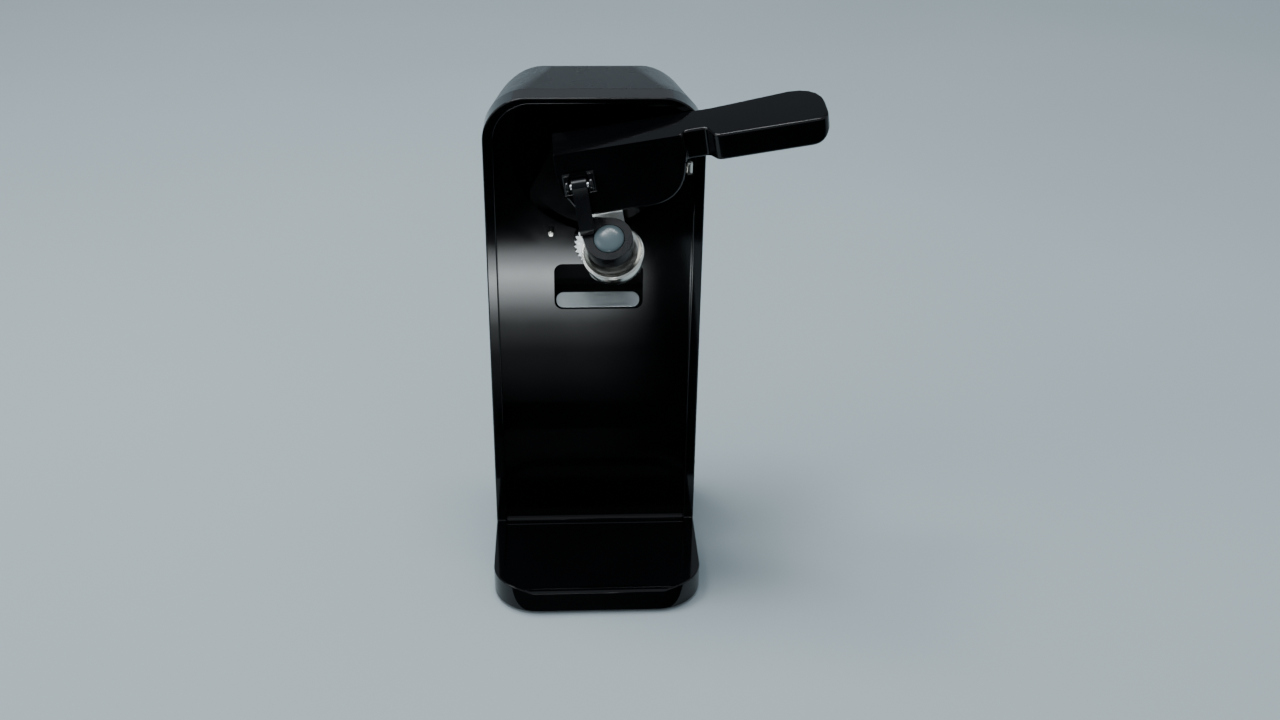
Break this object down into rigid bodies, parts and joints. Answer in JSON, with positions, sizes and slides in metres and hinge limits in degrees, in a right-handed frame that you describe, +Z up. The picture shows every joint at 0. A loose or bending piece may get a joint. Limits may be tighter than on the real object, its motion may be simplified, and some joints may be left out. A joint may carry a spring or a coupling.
{
  "type": "electric can opener",
  "caption": "Upright electric can opener: glossy column on a forward foot, with a hinged pressing lever, dished cutter wheel, lid magnet, serrated drive wheel and bottle-cap slot.",
  "frame": {"origin": "middle of the bounding box in plan, on the table", "axes": "+X to the handle's side (the user's right), +Y to the rear, +Z up"},
  "size_m": [0.1508, 0.1212, 0.2379],
  "materials": {
    "gloss_black": "high-gloss black ABS",
    "lever_black": "high-gloss black ABS",
    "shell_black": "satin-gloss black ABS",
    "switch_black": "matte phenolic",
    "rubber": "soft black rubber",
    "arm_black": "satin black plastic",
    "cap_grey": "slate-grey plastic",
    "chrome": "bright chrome",
    "nylon": "natural nylon",
    "copper": "enamelled copper wire",
    "laminate": "stacked steel laminations",
    "brass": "turned brass",
    "magnet_nickel": "nickel-plated magnet",
    "steel": "zinc-plated steel"
  },
  "bodies": {
    "housing": {"front_housing": "gloss_black", "rear_housing": "shell_black", "base_cover": "shell_black", "front_left_foot": "rubber", "rear_left_foot": "rubber", "front_right_foot": "rubber", "rear_right_foot": "rubber", "housing_screw_low_left": "steel", "housing_screw_high_left": "steel", "base_screw_left": "steel", "housing_screw_low_right": "steel", "housing_screw_high_right": "steel", "base_screw_right": "steel", "cord_gland": "rubber", "fascia": "gloss_black", "locating_post": "chrome", "microswitch": "switch_black", "bottle_catch": "steel", "lever_pivot_pin": "steel", "lever_return_spring": "steel", "first_gear_axle": "steel", "second_gear_axle": "steel", "drive_bush_front": "brass", "drive_bush_rear": "brass", "gear_plate_front": "steel", "gear_plate_rear": "steel", "gear_post_1": "steel", "gear_post_2": "steel", "gear_post_3": "steel", "motor_stator": "laminate", "motor_coil": "copper", "motor_bracket_front": "steel", "motor_bracket_rear": "steel", "motor_bolt_left": "steel", "motor_bolt_right": "steel"},
    "push_rod": {"switch_plunger": "chrome", "switch_button": "nylon"},
    "lever_set": {"lever": "lever_black", "magnet_arm_pin": "steel", "cutter_axle": "steel", "cutter_washer": "steel", "lever_plate": "steel", "lever_plate_screw_left": "steel", "lever_plate_screw_right": "steel"},
    "cutter": {"cutter_wheel": "chrome"},
    "magnet_arm_set": {"magnet": "magnet_nickel", "magnet_cap": "cap_grey", "magnet_arm": "arm_black"},
    "drive": {"output_gear": "nylon", "drive_wheel": "chrome", "drive_shaft": "steel"},
    "first_gear": {"first_gear": "nylon"},
    "second_gear": {"second_gear": "nylon"},
    "rotor": {"motor_pinion": "brass", "rotor_core": "laminate", "rotor_shaft": "steel", "cooling_fan": "nylon"}
  },
  "joints": [
    {"name": "lever_hinge", "type": "hinge", "parent": "housing", "child": "lever_set", "pos_m": [-0.02361, -0.00105, 0.2102], "axis": [0, -1, 0], "range_deg": [-9.5, 6], "stiffness_Nm_per_rad": 2},
    {"name": "cutter_spin", "type": "hinge", "parent": "lever_set", "child": "cutter", "pos_m": [-0.0179, -0.02305, 0.17162], "axis": [-0.1273, -0.6157, 0.7777], "continuous": true},
    {"name": "magnet_arm_hinge", "type": "hinge", "parent": "lever_set", "child": "magnet_arm_set", "pos_m": [-0.0325, -0.02425, 0.20297], "axis": [-0.9869, 0, -0.1616], "range_deg": [-1.5, 40]},
    {"name": "drive_spin", "type": "hinge", "parent": "housing", "child": "drive", "pos_m": [-0.02471, -0.00105, 0.1669], "axis": [0, 1, 0], "continuous": true},
    {"name": "first_gear_spin", "type": "hinge", "parent": "housing", "child": "first_gear", "pos_m": [-0.02471, -0.00105, 0.1339], "axis": [0, 1, 0], "continuous": true},
    {"name": "second_gear_spin", "type": "hinge", "parent": "housing", "child": "second_gear", "pos_m": [-0.03741, -0.00105, 0.10672], "axis": [0, 1, 0], "continuous": true},
    {"name": "rotor_spin", "type": "hinge", "parent": "housing", "child": "rotor", "pos_m": [-0.02471, -0.00105, 0.08289], "axis": [0, 1, 0], "continuous": true},
    {"name": "push_rod_slide", "type": "slide", "parent": "housing", "child": "push_rod", "axis": [0, 0, 1], "range_m": [-0.0019, 0.0012]}
  ],
  "couplings": [
    {"joint": "first_gear_spin", "follows": "drive_spin", "ratio": -3.7143},
    {"joint": "second_gear_spin", "follows": "drive_spin", "ratio": 14.857},
    {"joint": "rotor_spin", "follows": "drive_spin", "ratio": -65.371},
    {"joint": "push_rod_slide", "follows": "lever_hinge", "m_per_rad": 0.011}
  ]
}
